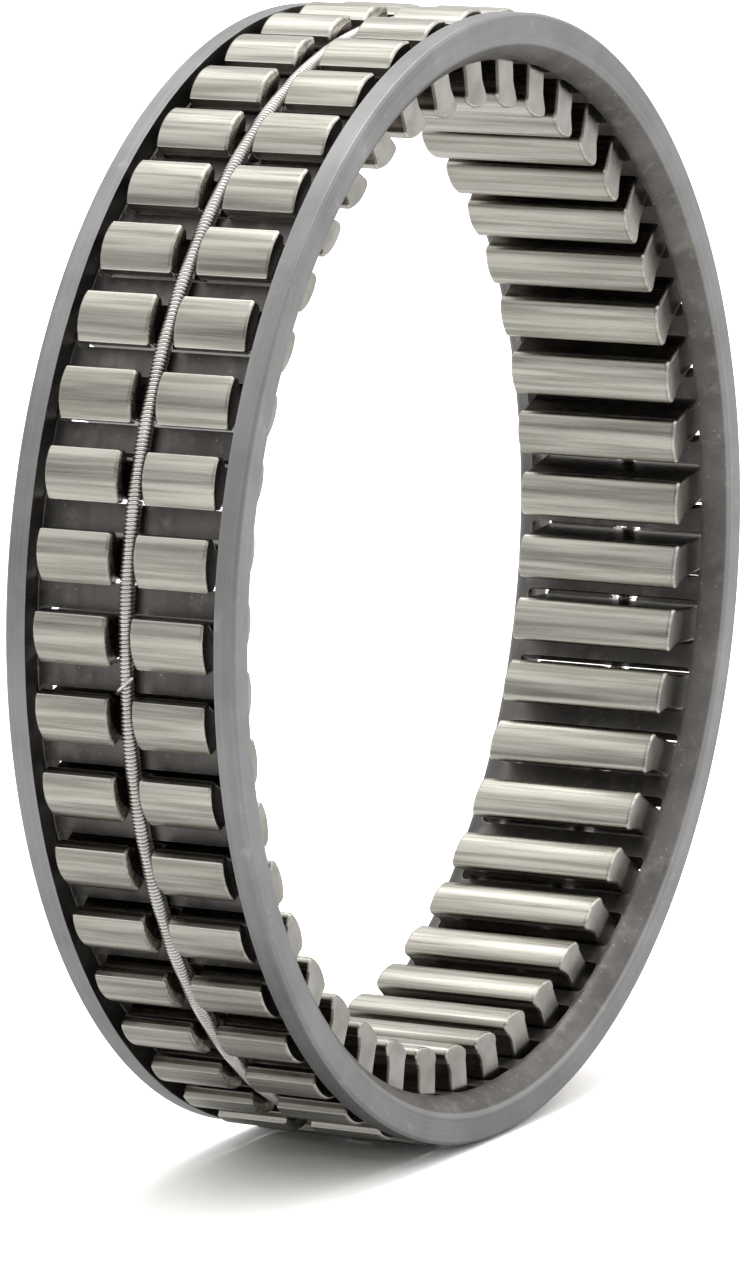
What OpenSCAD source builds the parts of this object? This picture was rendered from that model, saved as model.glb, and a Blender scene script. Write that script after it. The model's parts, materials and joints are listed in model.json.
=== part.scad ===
// Sprag cage for a one-way clutch: a one-piece channel cage, a ring of sprags that
// tilt in its windows, and a garter spring round their notches.
//
// The ring axis is Y, +Z is up and the origin is the centre of the ring.
// The ring stands on its rim with its front face towards -Y.

/* [Races] */
// Diameter of the shaft, or inner race, that the sprags grip
shaft_d = 79.7; // [79:0.1:81]
// Radial gap between the shaft and the bore of the outer race
race_gap = 8.33; // [8.3:0.01:8.4]
// How much more than the race gap a free sprag spans
preload = 0.07; // [0.03:0.01:0.1]

/* [Cage] */
// Width of the cage along the ring axis
cage_w = 21; // [20.6:0.1:25]
// Thickness of each side flange
flange_t = 1.9; // [1.6:0.1:2]
// How far the flange rims sit below the free sprag tips
flange_sink = 0.35; // [0.3:0.05:0.8]
// How far the channel's floor, the web's outer face, sits below the free sprag tips
web_sink = 2.4; // [2.35:0.05:2.6]
// Thickness of the web that holds the windows
web_t = 2.05; // [1.8:0.05:2.15]
// Radius of the rounded lead-in at each end of the bore
lead_r = 3.5; // [3:0.1:3.8]
// Radial width of the flat part of each side face
face_w = 2.25; // [1.8:0.05:2.3]
// Bevel on the flange rims
rim_bevel = 0.25; // [0.1:0.05:0.4]
// Width of each window round the ring
window_w = 4.05; // [4:0.05:4.15]
// Distance from a sprag's pivot to the centre line of its window, against the lean
window_shift = 0.46; // [0.42:0.02:0.5]
// Land between a window's end and the flange
window_land = 0.2; // [0.1:0.05:0.3]
// Radius of a window's corners
window_corner_r = 0.45; // [0.3:0.05:0.5]

/* [Sprags] */
// Number of sprags, one in each window
sprag_count = 45; // [36:1:45]
// Angle of the first sprag's pivot from straight up
first_angle = 0.35; // [0:0.05:7.95]
// Length of a sprag along the ring axis
sprag_len = 15.5; // [15:0.1:15.8]
// Lean of a free sprag from the radius through its pivot
free_lean = 11; // [10:0.5:12]
// Radius of the cam that meets the outer race
outer_cam_r = 3.9; // [3.8:0.02:4]
// Radius of the cam that meets the shaft
inner_cam_r = 4; // [3.8:0.05:4.2]
// Distance between the two cam centres, measured across the sprag
cam_shift = 0.8; // [0.6:0.05:1]
// Width of the outer head
outer_head_w = 4.25; // [4.1:0.05:4.3]
// Width of the straight body below the outer head
body_w = 3.1; // [3:0.05:3.1]
// How far the body's middle lies from the outer head's, against the lean
body_shift = 0.3; // [0.25:0.01:0.32]
// Radius of the heel, the inner head's corner against the lean
heel_r = 0.75; // [0.6:0.05:0.8]
// Radius of the toe, the inner head's corner on the side it leans to
toe_r = 0.6; // [0.5:0.05:0.65]

/* [Garter spring] */
// Outside diameter of the spring's coil
spring_od = 1.4; // [1.2:0.05:1.5]
// Gap between the coil and the web
spring_gap = 0.03; // [0.02:0.01:0.05]
// Width of the notch in each sprag that the spring runs through
notch_w = 2.25; // [2:0.05:2.6]
// How far the notch floor sits below the web's outer face
notch_sink = 0.4; // [0.38:0.01:0.5]

/* [Node] */
// Name of the sub-part to draw, or all

/* [Hidden] */
$fn = 96;
cut = 1;

tip_in_r = shaft_d / 2 - 0.05;
tip_out_r = tip_in_r + race_gap + preload;
pivot_r = tip_out_r - outer_cam_r;
flange_r = tip_out_r - flange_sink;
web_r = tip_out_r - web_sink;
bore_r = web_r - web_t;
half_w = cage_w / 2;
channel_w = cage_w - 2 * flange_t;
window_len = channel_w - 2 * window_land;
spring_r = web_r + spring_gap + spring_od / 2;
notch_floor_r = web_r - notch_sink;

// The lead-in is an arc that starts where the flat face ends, and the bore cuts it off
// just before it turns parallel to the ring axis.
lead_cut_in = 0.1;
lead_centre_r = bore_r + lead_r - lead_cut_in;
lead_centre_y = half_w - sqrt(lead_r ^ 2 - (lead_centre_r - flange_r + face_w) ^ 2);

// The outline's own frame has its origin at the outer cam's centre, which is the
// pivot. +x is the side that the inner end leans to.
body_x = -body_shift;
body_left = body_x - body_w / 2;
body_right = body_x + body_w / 2;
shoulder_y = 2.35;
shoulder_slope = 0.6;

// Depth of the inner cam's centre below the pivot. It puts the free sprag's inner
// tip at tip_in_r: the ring centre, the pivot and the cam centre form a triangle.
inner_centre_r = tip_in_r + inner_cam_r;
pivot_drop = pivot_r * cos(free_lean);
pivot_side = pivot_r * sin(free_lean);
inner_y = pivot_drop - sqrt(inner_centre_r ^ 2 - (pivot_side + cam_shift) ^ 2);
inner_centre = [cam_shift, -inner_y];

// A round corner of the inner head, placed so that the cam's arc just cuts into it.
function corner_centre(x, corner_r) =
    [x, -inner_y - sqrt((inner_cam_r - corner_r + corner_bite) ^ 2 - (x - cam_shift) ^ 2)];

corner_bite = 0.03;
heel_reach = 0.95;
toe_reach = 1.5;
heel = corner_centre(body_x - heel_reach, heel_r);
toe = corner_centre(body_x + toe_reach, toe_r);

// The toe's flank runs from the body at this height to just inside the toe's corner.
ankle_y = toe.y + 1.6;
flank_end = toe + toe_r * [0.9, 0.35];

function sprag_name(i) = str("sprag_", i < 10 ? "0" : "", i);
function sprag_angle(i) = first_angle + (i - 1) * 360 / sprag_count;

// What the lead-in takes off the section's corner at the back end of the bore.
module lead_in_cutter() {
    difference() {
        translate([bore_r - cut, lead_centre_y])
            square([lead_centre_r - bore_r + cut, lead_r + cut]);
        translate([lead_centre_r, lead_centre_y]) circle(r = lead_r);
    }
}

// Half of the cage's section, from its middle to its back face.
module cage_half_section() {
    difference() {
        polygon([
            [bore_r, 0],
            [bore_r, half_w],
            [flange_r - rim_bevel, half_w],
            [flange_r, half_w - rim_bevel],
            [flange_r, half_w - flange_t],
            [web_r, half_w - flange_t],
            [web_r, 0]
        ]);
        lead_in_cutter();
    }
}

module cage_section() {
    cage_half_section();
    mirror([0, 1]) cage_half_section();
}

// Turns an item drawn at the top of the ring to its place, away from +Z towards -X.
module at_angle(a) {
    rotate([0, -a, 0]) children();
}

// A square hole's outline with round corners, about its centre.
module rounded_outline(size, corner_r) {
    inner = size - 2 * [corner_r, corner_r];
    square([size.x, inner.y], center = true);
    square([inner.x, size.y], center = true);
    for (x = [-1, 1], y = [-1, 1])
        translate([x * inner.x / 2, y * inner.y / 2]) circle(r = corner_r);
}

module window_cutter() {
    translate([-window_shift, 0, bore_r - cut])
        linear_extrude(height = web_r - bore_r + 2 * cut)
            rounded_outline([window_w, window_len], window_corner_r);
}

module cage() {
    color("dimgray")
        difference() {
            rotate([90, 0, 0]) rotate_extrude() cage_section();
            for (i = [1:sprag_count]) at_angle(sprag_angle(i)) window_cutter();
        }
}

// The closely wound coil is drawn as the ring that it fills.
module garter_spring() {
    color("silver")
        rotate([90, 0, 0])
            rotate_extrude()
                translate([spring_r, 0]) circle(d = spring_od);
}

// The outer cam's arc, cut to the width of the head. Its underside slopes in to the body.
module outer_head() {
    side = outer_head_w / 2;
    intersection() {
        circle(r = outer_cam_r);
        polygon([
            [side, outer_cam_r + cut],
            [-side, outer_cam_r + cut],
            [-side, shoulder_y],
            [body_left, shoulder_y - (side + body_left) * shoulder_slope],
            [body_right, shoulder_y - (side - body_right) * shoulder_slope],
            [side, shoulder_y]
        ]);
    }
}

// A point well outside the inner cam's arc, on the line through a corner of the head.
function outside_cam(corner) =
    inner_centre + (corner - inner_centre) * (inner_cam_r + cut) / norm(corner - inner_centre);

// The heel and the toe, joined to the body and cut off below by the inner cam's arc.
module inner_head() {
    intersection() {
        translate(inner_centre) circle(r = inner_cam_r);
        union() {
            translate(heel) circle(r = heel_r);
            translate(toe) circle(r = toe_r);
            polygon([
                [body_left, ankle_y],
                heel,
                outside_cam(heel),
                outside_cam(toe),
                toe,
                flank_end,
                [body_right, ankle_y]
            ]);
        }
    }
}

module body() {
    translate([body_left, toe.y + toe_r])
        square([body_w, shoulder_y - toe.y - toe_r]);
}

module sprag_outline() {
    outer_head();
    body();
    inner_head();
}

module notch_cutter() {
    translate([-outer_head_w, -notch_w / 2, notch_floor_r])
        cube([2 * outer_head_w, notch_w, tip_out_r - notch_floor_r + cut]);
}

module sprag(i) {
    color("lightgray")
        at_angle(sprag_angle(i))
            difference() {
                translate([0, 0, pivot_r])
                    rotate([90, 0, 0])
                        rotate([0, 0, free_lean])
                            linear_extrude(height = sprag_len, center = true) sprag_outline();
                notch_cutter();
            }
}

cage();
garter_spring();
for (i = [1:sprag_count])
    sprag(i);
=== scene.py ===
import json
import math

import bmesh
import bpy
import numpy as np
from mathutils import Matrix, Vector


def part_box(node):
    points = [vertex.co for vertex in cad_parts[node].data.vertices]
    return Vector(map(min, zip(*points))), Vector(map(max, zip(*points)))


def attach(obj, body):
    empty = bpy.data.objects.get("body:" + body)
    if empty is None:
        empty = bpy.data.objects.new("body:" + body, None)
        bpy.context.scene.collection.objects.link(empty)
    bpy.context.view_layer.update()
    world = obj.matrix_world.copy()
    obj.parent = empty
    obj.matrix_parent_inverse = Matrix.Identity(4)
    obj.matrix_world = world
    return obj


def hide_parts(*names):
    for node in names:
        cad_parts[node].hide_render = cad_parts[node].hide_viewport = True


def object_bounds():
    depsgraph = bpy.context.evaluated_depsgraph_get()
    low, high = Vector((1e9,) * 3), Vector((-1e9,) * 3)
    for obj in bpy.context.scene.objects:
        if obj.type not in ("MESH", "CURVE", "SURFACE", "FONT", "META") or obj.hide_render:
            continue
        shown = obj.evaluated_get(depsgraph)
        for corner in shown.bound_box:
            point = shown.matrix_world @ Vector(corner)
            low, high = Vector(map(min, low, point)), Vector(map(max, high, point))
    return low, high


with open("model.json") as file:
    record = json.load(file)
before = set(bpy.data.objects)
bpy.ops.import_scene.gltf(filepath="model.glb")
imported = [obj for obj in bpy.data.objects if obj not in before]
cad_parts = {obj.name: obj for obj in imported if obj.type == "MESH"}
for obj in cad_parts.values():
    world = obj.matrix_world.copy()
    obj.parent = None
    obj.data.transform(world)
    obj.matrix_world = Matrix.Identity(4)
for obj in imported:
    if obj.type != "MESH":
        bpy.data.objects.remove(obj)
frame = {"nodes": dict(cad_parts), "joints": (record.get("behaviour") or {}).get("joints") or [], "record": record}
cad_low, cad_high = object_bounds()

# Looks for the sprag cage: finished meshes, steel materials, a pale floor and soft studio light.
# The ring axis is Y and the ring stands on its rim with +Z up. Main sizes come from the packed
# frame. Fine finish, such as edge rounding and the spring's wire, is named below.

MM = 0.001
# Slack for telling the CAD's faces apart, and for two heights that are the same
TINY = 0.01 * MM
SAME = 1e-9

# Edges
CAGE_EDGE = 0.07 * MM
SPRAG_EDGE = 0.10 * MM
SPRAG_END_EDGE = 0.28 * MM
SHARP_ANGLE = math.radians(24)
EDGE_SEGMENTS = 3
END_SEGMENTS = 4
SQUARE_TO_AXIS = 0.9

# Cage mesh
WINDOW_STEPS = 6
BAR_STEPS = 3
WEB_ROWS = 6
LEAD_STEPS = 9
WINDOW_CORNER = 0.45 * MM
CORNER_STEPS = 4

# Sprag mesh
OUTLINE_STEP = 0.30 * MM
SHARP_TURN = math.radians(36)

# Garter spring
WIRE_D = 0.33 * MM
COIL_PITCH = 0.335 * MM
POINTS_PER_COIL = 12
WIRE_SIDES = 6
SEAM_ANGLE = math.radians(92.6)
SEAM_WIDTH = 2.6 * MM
SEAM_SHRINK = 0.14
HOOK_LENGTH = 1.4 * MM
HOOK_POINTS = 9
HOOK_START = math.radians(-62)
HOOK_TURN = math.radians(130)
HOOK_LIFT = 0.8 * WIRE_D

# How deep the ground finish of the side faces reaches, and the polish under each cam. Past the polish, the sprag's
# flanks are darkened with painted shade.
GROUND_DEPTH = 0.25 * MM
POLISH_DEPTH = 0.30 * MM

# How far the lighter edges reach in, and the cosine of the edge's turn from which they are fully lighter. On the
# cage the lighter edge is partly wear and partly a painted highlight; on the sprags it is a painted highlight.
CAGE_WEAR_AND_HIGHLIGHT_REACH = 0.16 * MM
SPRAG_HIGHLIGHT_REACH = 0.25 * MM
EDGE_MARK_COSINE = 0.92

# Heights of the bumps
STEEL_BUMP = 0.010 * MM
WIRE_BUMP = 0.004 * MM

# Camera, in degrees and in multiples of its own unit
CAMERA_UNIT = 47.7 * MM
CAMERA_AZIMUTH = -62.6
CAMERA_ELEVATION = 9.24
CAMERA_DISTANCE = 14.0
CAMERA_RIGHT = -0.0345
CAMERA_UP = -0.1067
CAMERA_LENS = 223.9

# How bright the surround is on each side, as the steel reflects it
LIGHT_BEHIND_CAMERA = 0.38
LIGHT_BELOW = 0.55
LIGHT_ABOVE = 1.25
LIGHT_LEFT = 0.95
LIGHT_RIGHT = 1.25

# Floor and lights. Sizes and places are in metres, and the sun's place is only its direction.
FLOOR_HALF_SIZE = 4.0
SUN_STRENGTH = 1.2
SUN_WIDTH = math.radians(40)
SUN_PLACE = (0.30, 0.10, 1.0)
PANEL_STRENGTH = 0.04
PANEL_SIZE = 0.20
PANEL_PLACE = (0.30, -0.12, 0.12)


# ---------------------------------------------------------------- sizes read from the frame

def node_points(node):
    """A CAD node's vertices as an array."""
    return np.array([v.co for v in frame["nodes"][node].data.vertices])


def angle_of(point):
    """Angle round the ring, from +Z towards -X."""
    return math.atan2(-point[0], point[2])


def at_top(points, angle):
    """Tangential and radial places of points, once that angle is turned back to the top."""
    c, s = math.cos(angle), math.sin(angle)
    return points[:, 0] * c + points[:, 2] * s, points[:, 2] * c - points[:, 0] * s


BODIES = frame["record"]["behaviour"]["bodies"]
JOINTS = sorted(frame["joints"], key=lambda joint: joint["name"])
PIVOT_ANGLES = [angle_of(joint["pos_m"]) for joint in JOINTS]
PIVOT_R = math.hypot(JOINTS[0]["pos_m"][0], JOINTS[0]["pos_m"][2])


def circle_through(a, b, c):
    """Centre and radius of the circle through three points."""
    rows = 2 * np.array([b - a, c - a])
    centre = np.linalg.solve(rows, [b @ b - a @ a, c @ c - a @ a])
    return centre, np.linalg.norm(a - centre)


def cage_sizes():
    """The cage's section and window, found among the vertices of its CAD node."""
    points = node_points("cage")
    radius = np.hypot(points[:, 0], points[:, 2])
    depth = np.abs(points[:, 1])
    size = {"flange_r": radius.max(), "bore_r": radius.min(), "half_w": depth.max()}
    size["rim_y"] = depth[radius > size["flange_r"] - TINY].max()
    size["channel_y"] = depth[radius > size["flange_r"] - TINY].min()
    size["web_r"] = radius[depth < size["channel_y"] - TINY].max()
    size["window_y"] = depth[depth < size["channel_y"] - TINY].max()
    size["bore_y"] = depth[radius < size["bore_r"] + 0.05 * TINY].max()
    at_face = depth > size["half_w"] - TINY
    size["face_in_r"] = radius[at_face].min()
    size["face_out_r"] = radius[at_face].max()

    start = np.array([size["bore_r"], size["bore_y"]])
    end = np.array([size["face_in_r"], size["half_w"]])
    between = (depth > start[1] + TINY) & (depth < end[1] - TINY) & (radius < end[0] - TINY)
    places = np.stack([radius, depth], axis=1)[between]
    middle = places[np.argmin(np.abs(places[:, 1] - (start[1] + end[1]) / 2))]
    size["lead_centre"], size["lead_r"] = circle_through(start, middle, end)

    tangential, radial = at_top(points[depth < depth.min() + TINY], PIVOT_ANGLES[0])
    half_pitch = math.pi * PIVOT_R / len(JOINTS)
    own = tangential[(np.abs(tangential) < half_pitch) & (radial > 0)]
    size["window_low"] = own.min()
    size["window_high"] = own.max()
    return size


CAGE = cage_sizes()
FIRST_SPRAG = BODIES[JOINTS[0]["child"]][0]
SPRAG_HALF_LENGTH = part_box(FIRST_SPRAG)[1].y


# ---------------------------------------------------------------- mesh helpers

def round_edges(bm, width, sharp_angle):
    """Rounds every edge that turns by more than the sharp angle."""
    bmesh.ops.recalc_face_normals(bm, faces=bm.faces)
    sharp = [e for e in bm.edges if len(e.link_faces) == 2 and e.calc_face_angle() > sharp_angle]
    bmesh.ops.bevel(
        bm, geom=sharp, offset=width, segments=EDGE_SEGMENTS, profile=0.5,
        affect="EDGES", clamp_overlap=True,
    )
    bmesh.ops.recalc_face_normals(bm, faces=bm.faces)


def round_ends(bm, width):
    """Rounds the outer edges of every face that is square to the ring axis."""
    bmesh.ops.recalc_face_normals(bm, faces=bm.faces)
    caps = {f for f in bm.faces if abs(f.normal.y) > SQUARE_TO_AXIS}
    rims = [e for e in bm.edges if e.is_convex and len(caps.intersection(e.link_faces)) == 1]
    bmesh.ops.bevel(
        bm, geom=rims, offset=width, segments=END_SEGMENTS, profile=0.5,
        affect="EDGES", clamp_overlap=False,
    )


def add_piece(name, mesh, material, body, stands_for):
    """Puts a finished mesh in the scene as a piece that rides on a body."""
    mesh.polygons.foreach_set("use_smooth", [True] * len(mesh.polygons))
    mesh.materials.append(material)
    piece = bpy.data.objects.new(name, mesh)
    bpy.context.scene.collection.objects.link(piece)
    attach(piece, body)
    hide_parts(stands_for)
    return piece


def keep_faces_flat(piece):
    """Lets the large faces set the normals, so that rounded edges don't shade across them."""
    piece.modifiers.new("Flat faces", "WEIGHTED_NORMAL").weight = 100


# ---------------------------------------------------------------- cage

def inner_radius(y):
    """Radius of the cage's inner surface: the bore, then the rounded lead-in."""
    if abs(y) <= CAGE["bore_y"]:
        return CAGE["bore_r"]
    centre_r, centre_y = CAGE["lead_centre"]
    return centre_r - math.sqrt(CAGE["lead_r"] ** 2 - (abs(y) - centre_y) ** 2)


def lead_in():
    """Points of the lead-in's arc from the window's end to the flat face."""
    centre_r, centre_y = CAGE["lead_centre"]
    first = math.asin((CAGE["window_y"] - centre_y) / CAGE["lead_r"])
    last = math.asin((CAGE["half_w"] - centre_y) / CAGE["lead_r"])
    turns = np.linspace(first, last, LEAD_STEPS + 1)[1:]
    return [
        (centre_r - CAGE["lead_r"] * math.cos(a), centre_y + CAGE["lead_r"] * math.sin(a))
        for a in turns
    ]


def cage_section():
    """The closed section as (radius, y), and the row where the web's outer face starts."""
    rows = np.linspace(-CAGE["window_y"], CAGE["window_y"], WEB_ROWS + 1)
    inner = [(inner_radius(y), y) for y in rows]
    outer = [(CAGE["web_r"], y) for y in rows[::-1]]
    side = lead_in() + [
        (CAGE["face_out_r"], CAGE["half_w"]),
        (CAGE["flange_r"], CAGE["rim_y"]),
        (CAGE["flange_r"], CAGE["channel_y"]),
        (CAGE["web_r"], CAGE["channel_y"]),
    ]
    other_side = [(r, -y) for r, y in reversed(side)]
    return inner + side + outer + other_side, len(inner) + len(side)


def cage_columns():
    """For each column round the ring, (radii to angles, whether a window follows it)."""
    low, high = CAGE["window_low"], CAGE["window_high"]
    pitch = 2 * math.pi / len(JOINTS)
    radii = np.array([r for r, _ in cage_section()[0]])
    columns = []
    for k in range(len(JOINTS)):
        centre = PIVOT_ANGLES[0] + k * pitch
        for step in range(WINDOW_STEPS):
            across = high + (low - high) * step / WINDOW_STEPS
            columns.append((centre - np.arcsin(across / radii), True))
        bar_start = centre - np.arcsin(low / radii)
        bar_end = centre + pitch - np.arcsin(high / radii)
        for step in range(BAR_STEPS):
            columns.append((bar_start + (bar_end - bar_start) * step / BAR_STEPS, False))
    return columns


def round_window_corners(bm):
    """Rounds the four edges that run through the web at the corners of each window."""
    bmesh.ops.recalc_face_normals(bm, faces=bm.faces)
    thick = CAGE["web_r"] - CAGE["bore_r"]
    corners = [
        e for e in bm.edges
        if all(abs(abs(v.co.y) - CAGE["window_y"]) < TINY for v in e.verts)
        and e.verts[0].co.y * e.verts[1].co.y > 0
        and e.calc_length() > 0.8 * thick
        and e.calc_face_angle() > SHARP_ANGLE
    ]
    bmesh.ops.bevel(
        bm, geom=corners, offset=WINDOW_CORNER, segments=CORNER_STEPS, profile=0.5,
        affect="EDGES", clamp_overlap=True,
    )


def build_cage(material):
    """The cage as one grid of section points round the ring, with the windows left open."""
    section, first_outer = cage_section()
    columns = cage_columns()
    rows = len(section)
    last_outer = first_outer + WEB_ROWS
    open_rows = set(range(WEB_ROWS)) | set(range(first_outer, last_outer))
    bm = bmesh.new()
    grid = [
        [
            bm.verts.new((-r * math.sin(angle), y, r * math.cos(angle)))
            for (r, y), angle in zip(section, angles)
        ]
        for angles, _ in columns
    ]
    for c, (_, window_here) in enumerate(columns):
        here = grid[c]
        there = grid[(c + 1) % len(columns)]
        window_before = columns[c - 1][1]
        for row in range(rows):
            after = (row + 1) % rows
            if not (window_here and row in open_rows):
                bm.faces.new((here[row], here[after], there[after], there[row]))
        if window_here:
            bm.faces.new((here[0], there[0], there[last_outer], here[last_outer]))
            bm.faces.new((here[WEB_ROWS], here[first_outer], there[first_outer], there[WEB_ROWS]))
        if window_here != window_before:
            for row in range(WEB_ROWS):
                across = last_outer - row
                bm.faces.new((here[row], here[row + 1], here[across - 1], here[across]))
    loose = [v for v in bm.verts if not v.link_faces]
    bmesh.ops.delete(bm, geom=loose, context="VERTS")
    round_window_corners(bm)
    round_edges(bm, CAGE_EDGE, SHARP_ANGLE)
    mesh = bpy.data.meshes.new("cage_finished")
    bm.to_mesh(mesh)
    bm.free()
    keep_faces_flat(add_piece("cage_finished", mesh, material, "cage", "cage"))


# ---------------------------------------------------------------- sprags

def end_outline(node, angle):
    """The outline of a sprag's end face, as a loop of (tangential, radial) from its pivot."""
    mesh = frame["nodes"][node].data
    end_y = min(v.co.y for v in mesh.vertices) + TINY
    tangential, radial = at_top(node_points(node), angle)
    place = np.round(np.stack([tangential, radial - PIVOT_R], axis=1), 8)
    uses = {}
    for polygon in mesh.polygons:
        if all(mesh.vertices[i].co.y < end_y for i in polygon.vertices):
            corners = [tuple(place[i]) for i in polygon.vertices]
            for a, b in zip(corners, corners[1:] + corners[:1]):
                key = (min(a, b), max(a, b))
                uses[key] = uses.get(key, 0) + 1
    neighbours = {}
    for (a, b), count in uses.items():
        if count == 1:
            neighbours.setdefault(a, []).append(b)
            neighbours.setdefault(b, []).append(a)
    loop = [min(neighbours)]
    previous = None
    while True:
        options = [p for p in neighbours[loop[-1]] if p != previous]
        previous = loop[-1]
        if options[0] == loop[0]:
            break
        loop.append(options[0])
    return np.array(loop)


def cam_circles(outline):
    """The outer cam's radius about the pivot, and the inner cam's centre and radius."""
    outer_r = np.linalg.norm(outline[np.argmax(outline[:, 1])])
    tip = np.argmin(np.hypot(outline[:, 0], outline[:, 1] + PIVOT_R))
    before, after = outline[tip - 1], outline[(tip + 1) % len(outline)]
    inner_centre, inner_r = circle_through(before, outline[tip], after)
    return outer_r, inner_centre, inner_r


def cut_at(outline, level):
    """Adds the points where a loop crosses a height."""
    result = []
    for here, after in zip(outline, np.roll(outline, -1, axis=0)):
        result.append(here)
        if (here[1] - level) * (after[1] - level) < 0:
            result.append(here + (after - here) * (level - here[1]) / (after[1] - here[1]))
    return np.array(result)


def even_steps(outline, level):
    """Spaces a loop's points evenly between its corners and its crossings of the level."""
    ahead = np.roll(outline, -1, axis=0) - outline
    heading = np.arctan2(ahead[:, 1], ahead[:, 0])
    turn = (heading - np.roll(heading, 1) + math.pi) % (2 * math.pi) - math.pi
    fixed = (np.abs(turn) > SHARP_ANGLE) | (np.abs(outline[:, 1] - level) < SAME)
    starts = np.flatnonzero(fixed)
    result = []
    for start, end in zip(starts, np.append(starts[1:], starts[0] + len(outline))):
        part = outline[np.arange(start, end + 1) % len(outline)]
        length = np.append(0, np.cumsum(np.hypot(*np.diff(part, axis=0).T)))
        count = max(1, round(length[-1] / OUTLINE_STEP))
        stops = np.linspace(0, length[-1], count + 1)[:-1]
        result.append(np.stack([np.interp(stops, length, part[:, k]) for k in (0, 1)], axis=1))
    return np.concatenate(result)


def sprag_shape():
    """A sprag at the top of the ring, about its pivot: (points, faces)."""
    points = node_points(FIRST_SPRAG)
    depth = np.abs(points[:, 1])
    half_len, notch_y = depth.max(), depth.min()
    _, radial = at_top(points[depth < notch_y + TINY], PIVOT_ANGLES[0])
    level = radial.min() - PIVOT_R
    outline = end_outline(FIRST_SPRAG, PIVOT_ANGLES[0])
    loop = even_steps(cut_at(outline, level), level)
    count = len(loop)
    crossings = [i for i in range(count) if abs(loop[i][1] - level) < SAME]
    first, last = crossings
    if loop[(first + 1) % count][1] < level:
        first, last = last, first
    loop = np.roll(loop, -first, axis=0)
    top = (last - first) % count

    bm = bmesh.new()
    stations = [
        [bm.verts.new((x, y, z)) for x, z in loop] for y in (-half_len, -notch_y, notch_y, half_len)
    ]
    for s, (near, far) in enumerate(zip(stations, stations[1:])):
        walls = range(top, count) if s == 1 else range(count)
        for i in walls:
            after = (i + 1) % count
            bm.faces.new((near[i], near[after], far[after], far[i]))
    bm.faces.new((stations[1][0], stations[1][top], stations[2][top], stations[2][0]))
    bm.faces.new(stations[0])
    bm.faces.new(stations[3])
    bm.faces.new(stations[1][: top + 1])
    bm.faces.new(stations[2][: top + 1])
    round_ends(bm, SPRAG_END_EDGE)
    round_edges(bm, SPRAG_EDGE, SHARP_TURN)
    bm.verts.index_update()
    shape = np.array([v.co for v in bm.verts]), [[v.index for v in f.verts] for f in bm.faces]
    bm.free()
    return shape


def build_sprags(material):
    """One piece for each sprag, which keeps its own coordinates for the material."""
    points, faces = sprag_shape()
    for joint, angle in zip(JOINTS, PIVOT_ANGLES):
        c, s = math.cos(angle), math.sin(angle)
        radial = points[:, 2] + PIVOT_R
        x = points[:, 0] * c - radial * s
        z = points[:, 0] * s + radial * c
        name = joint["child"] + "_finished"
        mesh = bpy.data.meshes.new(name)
        mesh.from_pydata(np.stack([x, points[:, 1], z], axis=1), [], faces)
        own_place = mesh.attributes.new("own_place", "FLOAT_VECTOR", "POINT")
        own_place.data.foreach_set("vector", points.astype(np.float32).ravel())
        node = BODIES[joint["child"]][0]
        keep_faces_flat(add_piece(name, mesh, material, joint["child"], node))


# ---------------------------------------------------------------- garter spring

def tube(centres, outward, radius, sides, closed=False):
    """Points and faces of a wire along centres. outward is roughly square to the wire."""
    along = np.gradient(centres, axis=0)
    if closed:
        along = np.roll(centres, -1, axis=0) - np.roll(centres, 1, axis=0)
    along /= np.linalg.norm(along, axis=1)[:, None]
    first = outward - along * np.sum(outward * along, axis=1)[:, None]
    first /= np.linalg.norm(first, axis=1)[:, None]
    second = np.cross(along, first)
    turn = np.arange(sides) * 2 * math.pi / sides
    rings = (
        centres[:, None]
        + radius * np.cos(turn)[None, :, None] * first[:, None]
        + radius * np.sin(turn)[None, :, None] * second[:, None]
    )
    faces = []
    for i in range(len(centres) - (0 if closed else 1)):
        here = i * sides
        there = (i + 1) % len(centres) * sides
        for k in range(sides):
            after = (k + 1) % sides
            faces.append((here + k, here + after, there + after, there + k))
    if not closed:
        last = (len(centres) - 1) * sides
        faces.append(tuple(range(sides)))
        faces.append(tuple(last + k for k in range(sides)))
    return rings.reshape(-1, 3), faces


def round_ring(angle):
    """The outward direction at each angle round the ring."""
    return np.stack([-np.sin(angle), 0 * angle, np.cos(angle)], axis=1)


AXIAL = np.array([0.0, 1.0, 0.0])


def coil(ring_r, coil_r):
    """The closely wound coil, a little narrower where its two ends are joined."""
    coils = round(2 * math.pi * ring_r / COIL_PITCH)
    steps = coils * POINTS_PER_COIL
    angle = np.arange(steps) * 2 * math.pi / steps
    turn = np.arange(steps) * 2 * math.pi / POINTS_PER_COIL
    from_seam = np.abs(angle - SEAM_ANGLE) * ring_r / SEAM_WIDTH
    width = coil_r * (1 - SEAM_SHRINK * np.exp(-from_seam ** 4))
    radial = round_ring(angle)
    outward = np.cos(turn)[:, None] * radial + np.sin(turn)[:, None] * AXIAL
    centres = ring_r * radial + width[:, None] * outward
    return tube(centres, outward, WIRE_D / 2, WIRE_SIDES, closed=True)


def hook(ring_r, coil_r):
    """The wire's end, which lies slantwise over the coil at the joint."""
    share = np.linspace(0, 1, HOOK_POINTS)
    angle = SEAM_ANGLE + share * HOOK_LENGTH / ring_r
    around = HOOK_START + share * HOOK_TURN
    radial = round_ring(angle)
    outward = np.cos(around)[:, None] * radial + np.sin(around)[:, None] * AXIAL
    centres = ring_r * radial + (coil_r + HOOK_LIFT) * outward
    return tube(centres, outward, WIRE_D / 2, WIRE_SIDES)


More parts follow.
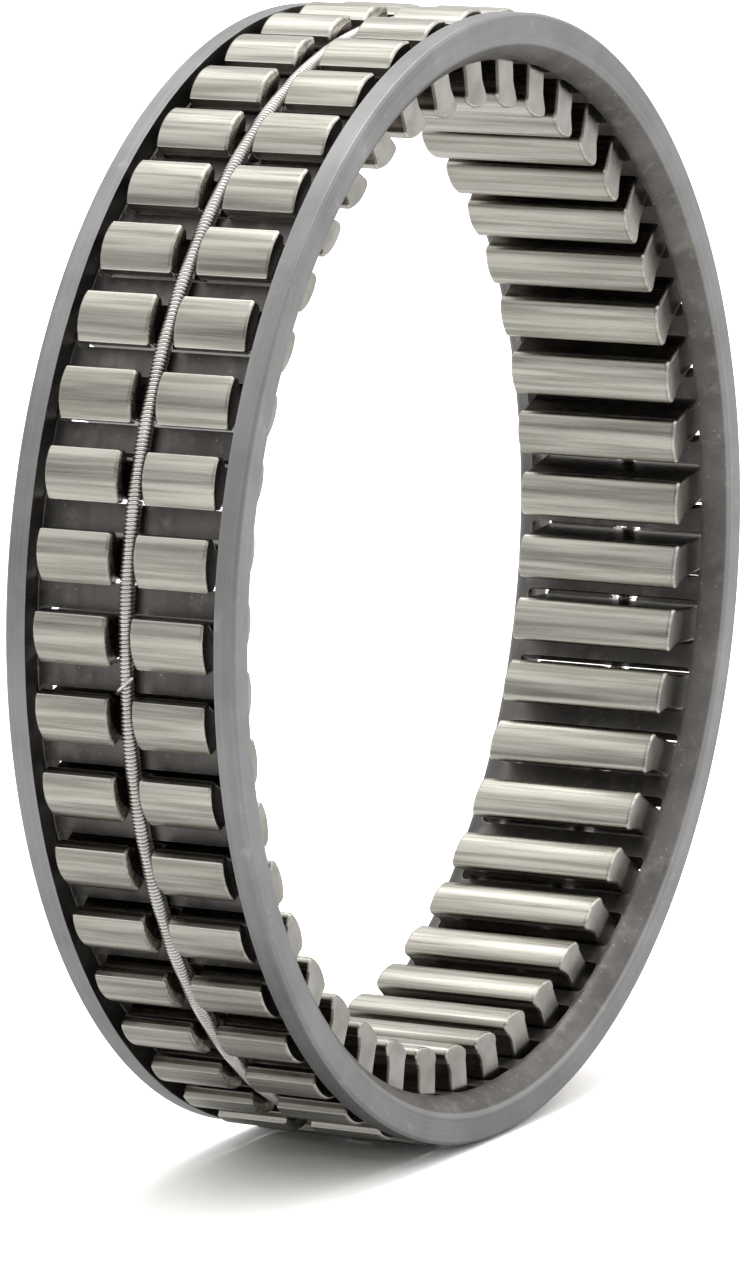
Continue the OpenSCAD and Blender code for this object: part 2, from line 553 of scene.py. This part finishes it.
def build_spring(material):
    """A closely wound coil round the notches, with its two ends hooked together."""
    low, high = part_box("garter_spring")
    ring_r = high.x - high.y
    coil_r = high.y - WIRE_D / 2
    points, faces = coil(ring_r, coil_r)
    hook_points, hook_faces = hook(ring_r, coil_r)
    first = len(points)
    faces = faces + [tuple(first + i for i in face) for face in hook_faces]
    mesh = bpy.data.meshes.new("garter_spring_coil")
    mesh.from_pydata(np.concatenate([points, hook_points]), [], faces)
    add_piece("garter_spring_coil", mesh, material, "cage", "garter_spring")


# ---------------------------------------------------------------- materials

class Shader:
    """Short calls for building one material's or the world's nodes."""

    def __init__(self, tree):
        self.tree = tree
        tree.nodes.clear()

    def add(self, kind, inputs, **settings):
        node = self.tree.nodes.new(kind)
        for name, value in settings.items():
            setattr(node, name, value)
        for name, value in inputs.items():
            if isinstance(value, bpy.types.NodeSocket):
                self.tree.links.new(value, node.inputs[name])
            else:
                node.inputs[name].default_value = value
        return node

    def math(self, operation, a, b=0.0):
        return self.add("ShaderNodeMath", {0: a, 1: b}, operation=operation).outputs[0]

    def vector(self, x, y, z):
        return self.add("ShaderNodeCombineXYZ", {"X": x, "Y": y, "Z": z}).outputs[0]

    def split(self, vector):
        return self.add("ShaderNodeSeparateXYZ", {"Vector": vector}).outputs

    def scaled(self, vector, scale):
        inputs = {0: vector, 1: scale}
        return self.add("ShaderNodeVectorMath", inputs, operation="MULTIPLY").outputs[0]

    def length(self, a, b):
        squares = self.math("ADD", self.math("MULTIPLY", a, a), self.math("MULTIPLY", b, b))
        return self.math("SQRT", squares)

    def noise(self, vector, scale=1.0, detail=2.0, roughness=0.5):
        inputs = {"Vector": vector, "Scale": scale, "Detail": detail, "Roughness": roughness}
        return self.add("ShaderNodeTexNoise", inputs).outputs["Fac"]

    def fade(self, value, low, high, out_low=0.0, out_high=1.0):
        inputs = {"Value": value, 1: low, 2: high, 3: out_low, 4: out_high}
        return self.add("ShaderNodeMapRange", inputs, interpolation_type="SMOOTHSTEP").outputs[0]

    def blend(self, share, a, b):
        inputs = {0: share, 6: a, 7: b}
        return self.add("ShaderNodeMix", inputs, data_type="RGBA").outputs[2]

    def along(self, direction, axis):
        inputs = {0: direction, 1: axis}
        return self.add("ShaderNodeVectorMath", inputs, operation="DOT_PRODUCT").outputs["Value"]

    def edge(self, radius):
        """1 at edges and corners within that radius, 0 on open faces. It marks both wear and painted edge
        highlights.
        """
        bevel = self.add("ShaderNodeBevel", {"Radius": radius}, samples=6).outputs[0]
        normal = self.add("ShaderNodeNewGeometry", {}).outputs["Normal"]
        return self.fade(self.along(bevel, normal), 1.0, EDGE_MARK_COSINE)

    def bump(self, height, distance, strength=1.0):
        inputs = {"Height": height, "Distance": distance, "Strength": strength}
        return self.add("ShaderNodeBump", inputs).outputs[0]

    def steel(self, colour, roughness, normal, anisotropy=0.0, tangent=None):
        inputs = {
            "Base Color": colour,
            "Metallic": 1.0,
            "Roughness": roughness,
            "Normal": normal,
            "Anisotropic": anisotropy,
        }
        if tangent is not None:
            inputs["Tangent"] = tangent
        surface = self.add("ShaderNodeBsdfPrincipled", inputs).outputs[0]
        self.add("ShaderNodeOutputMaterial", {"Surface": surface})


def new_material(name):
    material = bpy.data.materials.new(name)
    material.use_nodes = True
    return material, Shader(material.node_tree)


def grey(value, warmth=0.0):
    """A linear colour. Warmth shifts it from blue towards red."""
    return (value * (1 + warmth), value, value * (1 - warmth), 1.0)


# Noise in features per metre. The skew lets the lathe lines run over faces of any slope.
LATHE_LINES = 9000.0
LATHE_BANDS = 1500.0
LATHE_SKEW = 0.7
CAGE_BLOTCHES = 160.0
CAGE_OIL = 420.0
CAGE_GRAIN = 6000.0
CAGE_SPECKS_AND_GLINTS = 3200.0

# Blackened surfaces, then the ground side faces
BLACK_DARK = (0.120, 0.113, 0.107, 1.0)
BLACK_PALE = (0.180, 0.170, 0.160, 1.0)
OIL_FILM = (0.26, 0.24, 0.21, 1.0)
# Small bright specks: glints painted into the colour.
SPECK_AND_GLINT = grey(0.6)
GROUND_DARK = grey(0.25, 0.01)
GROUND_PALE = grey(0.32)
GROUND_LINE = grey(0.42)
GROUND_SMUDGE = grey(0.5)
# Lighter edge colour: partly wear, partly a painted highlight.
CAGE_WEAR_AND_HIGHLIGHT = grey(0.50)


def cage_steel():
    """Blackened steel with ground side faces: lathe lines, blotches, oil, specks with painted glints, and worn
    edges with a painted highlight.
    """
    material, s = new_material("cage_steel")
    place = s.add("ShaderNodeTexCoord", {}).outputs["Object"]
    x, y, z = s.split(place)
    radius = s.length(x, z)
    depth = s.math("ABSOLUTE", y)
    round_x = s.math("DIVIDE", x, radius)
    round_z = s.math("DIVIDE", z, radius)
    profile = s.math("ADD", radius, s.math("MULTIPLY", y, LATHE_SKEW))
    fine = s.vector(round_x, s.math("MULTIPLY", profile, LATHE_LINES), round_z)
    coarse = s.vector(round_x, s.math("MULTIPLY", profile, LATHE_BANDS), round_z)
    lines = s.noise(fine, detail=3.0, roughness=0.65)
    bands = s.noise(coarse, detail=2.0)
    blotches = s.noise(place, CAGE_BLOTCHES, detail=5.0, roughness=0.6)
    oil = s.noise(place, CAGE_OIL, detail=5.0, roughness=0.65)
    grain = s.noise(place, CAGE_GRAIN, detail=2.0)
    specks_and_glints = s.fade(s.noise(place, CAGE_SPECKS_AND_GLINTS, detail=1.0), 0.72, 0.78)

    ground = s.math(
        "MAXIMUM",
        s.fade(depth, CAGE["half_w"] - 1.4 * GROUND_DEPTH, CAGE["half_w"] - 0.6 * GROUND_DEPTH),
        s.math(
            "MULTIPLY",
            s.fade(depth, CAGE["channel_y"] + TINY, CAGE["channel_y"] + 5 * TINY),
            s.fade(radius, CAGE["web_r"], CAGE["web_r"] + 0.2 * MM),
        ),
    )
    black = s.blend(s.fade(blotches, 0.35, 0.65), BLACK_DARK, BLACK_PALE)
    black = s.blend(s.fade(oil, 0.50, 0.70, 0.0, 0.6), black, OIL_FILM)
    # Painted glints: small bright specks over the blackened steel.
    black = s.blend(s.math("MULTIPLY", specks_and_glints, 0.45), black, SPECK_AND_GLINT)
    bright = s.blend(s.fade(blotches, 0.3, 0.7), GROUND_DARK, GROUND_PALE)
    bright = s.blend(s.fade(lines, 0.35, 0.75, 0.0, 0.35), bright, GROUND_LINE)
    bright = s.blend(s.fade(oil, 0.60, 0.72, 0.0, 0.35), bright, GROUND_SMUDGE)
    base = s.blend(ground, black, bright)
    # Lighter edges, partly wear and partly a painted highlight. The oil noise sets how strong they are.
    wear_and_highlight = s.math("MULTIPLY", s.edge(CAGE_WEAR_AND_HIGHLIGHT_REACH), s.fade(oil, 0.35, 0.6, 0.15, 0.8))
    base = s.blend(wear_and_highlight, base, CAGE_WEAR_AND_HIGHLIGHT)

    dull = s.fade(ground, 0.0, 1.0, 0.08, 0.0)
    roughness = s.math("ADD", s.fade(bands, 0.3, 0.7, 0.34, 0.44), dull)
    height = s.math("ADD", lines, s.math("MULTIPLY", grain, 0.5))
    normal = s.bump(height, STEEL_BUMP, 0.5)
    tangent = s.vector(round_z, 0.0, s.math("MULTIPLY", round_x, -1.0))
    s.steel(base, roughness, normal, 0.5, tangent)
    return material


# Noise in features per metre, and how far apart in metres two sprags' patterns can lie
STREAKS = (7000.0, 130.0, 7000.0)
WIDE_STREAKS = (1700.0, 55.0, 1700.0)
SPRAG_BLOTCHES = 420.0
SPRAG_GRAIN = 9000.0
PATTERN_SHIFT = 0.7

CAM_DARK = (0.30, 0.285, 0.245, 1.0)
CAM_PALE = (0.60, 0.580, 0.515, 1.0)
CAM_STREAK = (0.72, 0.700, 0.640, 1.0)
# Painted shade: the flanks are darkened to stand for the shadow they lie in.
SHADED_FLANK_DARK = (0.085, 0.068, 0.054, 1.0)
SHADED_FLANK_PALE = (0.15, 0.130, 0.110, 1.0)
END_DARK = (0.30, 0.29, 0.26, 1.0)
END_PALE = (0.45, 0.435, 0.40, 1.0)
SPRAG_TINT = (0.30, 0.28, 0.24, 1.0)
# Painted highlight: the sprag's edges are lightened as if they caught the light.
SPRAG_EDGE_HIGHLIGHT = (0.95, 0.94, 0.90, 1.0)


def sprag_steel():
    """Hard drawn steel: polished cams with streaks along them, flanks darkened with painted shade, smooth pale
    ends, and a painted highlight on the edges.
    """
    material, s = new_material("sprag_steel")
    own = s.add("ShaderNodeAttribute", {}, attribute_name="own_place").outputs["Vector"]
    chance = s.add("ShaderNodeObjectInfo", {}).outputs["Random"]
    shift = s.math("MULTIPLY", chance, PATTERN_SHIFT)
    x, y, z = s.split(own)
    moved = s.vector(s.math("ADD", x, shift), y, s.math("ADD", z, shift))
    streaks = s.noise(s.scaled(moved, STREAKS), detail=4.0, roughness=0.6)
    wide_streaks = s.noise(s.scaled(moved, WIDE_STREAKS), detail=3.0)
    blotches = s.noise(moved, SPRAG_BLOTCHES, detail=4.0)
    grain = s.noise(moved, SPRAG_GRAIN, detail=2.0)

    outer_r, inner_centre, inner_r = cam_circles(end_outline(FIRST_SPRAG, PIVOT_ANGLES[0]))
    from_outer = s.length(x, z)
    from_inner = s.length(
        s.math("SUBTRACT", x, inner_centre[0]), s.math("SUBTRACT", z, inner_centre[1])
    )
    outer_cam = s.fade(from_outer, outer_r - POLISH_DEPTH, outer_r - 0.8 * POLISH_DEPTH)
    inner_cam = s.fade(from_inner, inner_r - POLISH_DEPTH, inner_r - 0.8 * POLISH_DEPTH)
    polished = s.math("MAXIMUM", outer_cam, inner_cam)
    on_end = s.fade(s.math("ABSOLUTE", y), SPRAG_HALF_LENGTH - 3 * TINY, SPRAG_HALF_LENGTH - TINY)

    cam = s.blend(s.fade(wide_streaks, 0.32, 0.68), CAM_DARK, CAM_PALE)
    cam = s.blend(s.fade(streaks, 0.40, 0.75, 0.0, 0.35), cam, CAM_STREAK)
    # Painted shade on the flanks, which is everything away from the cams and the ends.
    shaded_flank = s.blend(s.fade(blotches, 0.3, 0.7), SHADED_FLANK_DARK, SHADED_FLANK_PALE)
    end = s.blend(s.fade(blotches, 0.3, 0.7), END_DARK, END_PALE)
    base = s.blend(on_end, s.blend(polished, shaded_flank, cam), end)
    base = s.blend(s.fade(chance, 0.0, 1.0, 0.0, 0.2), base, SPRAG_TINT)
    # Painted highlight along the rounded edges.
    base = s.blend(s.math("MULTIPLY", s.edge(SPRAG_HIGHLIGHT_REACH), 0.85), base, SPRAG_EDGE_HIGHLIGHT)

    smoother_end = s.math("MULTIPLY", on_end, 0.09)
    roughness = s.math("SUBTRACT", s.fade(streaks, 0.3, 0.7, 0.24, 0.36), smoother_end)
    height = s.math("ADD", streaks, s.math("MULTIPLY", grain, 0.5))
    normal = s.bump(height, STEEL_BUMP, 0.5)
    s.steel(base, roughness, normal)
    return material


# Noise in features per metre
WIRE_STAINS = 300.0
WIRE_GRAIN = 14000.0

WIRE_PALE = grey(0.80, 0.03)
WIRE_STAINED = grey(0.62, 0.05)
WIRE_BRIGHT = grey(0.90)


def spring_wire():
    """Drawn spring wire: bright, with a slight grain and darker stains."""
    material, s = new_material("spring_wire")
    place = s.add("ShaderNodeTexCoord", {}).outputs["Object"]
    stains = s.noise(place, WIRE_STAINS, detail=4.0)
    grain = s.noise(place, WIRE_GRAIN, detail=2.0)
    base = s.blend(s.fade(stains, 0.35, 0.7), WIRE_PALE, WIRE_STAINED)
    base = s.blend(s.fade(grain, 0.4, 0.8, 0.0, 0.3), base, WIRE_BRIGHT)
    s.steel(base, s.fade(grain, 0.3, 0.7, 0.20, 0.32), s.bump(grain, WIRE_BUMP, 0.4))
    return material


# FLOOR_SEEN is what the camera sees. The steel sees the two darker greys.
FLOOR_PATCHES = 3.0
FLOOR_DARK = grey(0.68)
FLOOR_PALE = grey(0.71)
FLOOR_SEEN = grey(1.7, 0.015)


def floor_white():
    """A pale matte floor with a very slight unevenness, overexposed as the camera sees it."""
    material, s = new_material("floor_white")
    place = s.add("ShaderNodeTexCoord", {}).outputs["Object"]
    seen = s.add("ShaderNodeLightPath", {}).outputs["Is Camera Ray"]
    base = s.blend(s.noise(place, FLOOR_PATCHES), FLOOR_DARK, FLOOR_PALE)
    base = s.blend(seen, base, FLOOR_SEEN)
    surface = s.add("ShaderNodeBsdfDiffuse", {"Color": base}).outputs[0]
    s.add("ShaderNodeOutputMaterial", {"Surface": surface})
    return material


# ---------------------------------------------------------------- studio

def view_axes():
    """Directions from the ring back to the camera, to the picture's right, and up."""
    a, e = math.radians(CAMERA_AZIMUTH), math.radians(CAMERA_ELEVATION)
    back = Vector((math.sin(a) * math.cos(e), -math.cos(a) * math.cos(e), math.sin(e)))
    right = Vector((math.cos(a), math.sin(a), 0.0))
    return back, right, back.cross(right)


def build_camera():
    """A long lens at the photo's angle, aimed a little off the ring's centre as in the photo."""
    back, right, up = view_axes()
    data = bpy.data.cameras.new("camera")
    data.lens = CAMERA_LENS
    data.clip_start = 0.01
    data.clip_end = 20.0
    camera = bpy.data.objects.new("camera", data)
    offset = CAMERA_DISTANCE * back + CAMERA_RIGHT * right + CAMERA_UP * up
    camera.location = offset * CAMERA_UNIT
    camera.rotation_mode = "QUATERNION"
    camera.rotation_quaternion = (-back).to_track_quat("-Z", "Y")
    bpy.context.scene.collection.objects.link(camera)
    bpy.context.scene.camera = camera


def build_floor():
    """A wide floor that the ring's lowest point touches."""
    bm = bmesh.new()
    bmesh.ops.create_grid(bm, x_segments=8, y_segments=8, size=FLOOR_HALF_SIZE)
    mesh = bpy.data.meshes.new("floor")
    bm.to_mesh(mesh)
    bm.free()
    mesh.materials.append(floor_white())
    floor = bpy.data.objects.new("floor", mesh)
    floor.location.z = cad_low.z
    bpy.context.scene.collection.objects.link(floor)


def build_world():
    """A white surround. What the steel reflects is brighter above and to the right."""
    world = bpy.data.worlds.new("studio")
    world.use_nodes = True
    bpy.context.scene.world = world
    s = Shader(world.node_tree)
    back, right, _ = view_axes()
    direction = s.add("ShaderNodeTexCoord", {}).outputs["Generated"]
    towards_camera = s.along(direction, back)
    to_the_right = s.along(direction, right)
    behind_camera = s.fade(towards_camera, 0.3, 0.97, 1.0, LIGHT_BEHIND_CAMERA)
    by_height = s.fade(s.split(direction)[2], -0.1, 0.9, LIGHT_BELOW, LIGHT_ABOVE)
    by_side = s.fade(to_the_right, -0.6, 0.9, LIGHT_LEFT, LIGHT_RIGHT)
    strength = s.math("MULTIPLY", behind_camera, by_height)
    strength = s.math("MULTIPLY", strength, by_side)
    seen = s.add("ShaderNodeLightPath", {}).outputs["Is Camera Ray"]
    strength = s.math("MAXIMUM", strength, seen)
    inputs = {"Color": grey(1.0), "Strength": strength}
    background = s.add("ShaderNodeBackground", inputs).outputs[0]
    s.add("ShaderNodeOutputWorld", {"Surface": background})


def build_sun():
    """A broad light from above and behind, which leaves a short soft shadow in front."""
    data = bpy.data.lights.new("sun", "SUN")
    data.energy = SUN_STRENGTH
    data.angle = SUN_WIDTH
    sun = bpy.data.objects.new("sun", data)
    sun.rotation_mode = "QUATERNION"
    sun.rotation_quaternion = Vector(SUN_PLACE).to_track_quat("Z", "Y")
    bpy.context.scene.collection.objects.link(sun)


def build_panel():
    """A softbox to the right, near enough to light the top of the ring more than the foot."""
    data = bpy.data.lights.new("panel", "AREA")
    data.size = PANEL_SIZE
    data.energy = PANEL_STRENGTH
    panel = bpy.data.objects.new("panel", data)
    panel.location = PANEL_PLACE
    panel.rotation_mode = "QUATERNION"
    panel.rotation_quaternion = panel.location.to_track_quat("Z", "Y")
    bpy.context.scene.collection.objects.link(panel)


def build_studio():
    build_world()
    build_floor()
    build_camera()
    build_sun()
    build_panel()
    bpy.context.scene.view_settings.view_transform = "Standard"


build_cage(cage_steel())
build_sprags(sprag_steel())
build_spring(spring_wire())
build_studio()
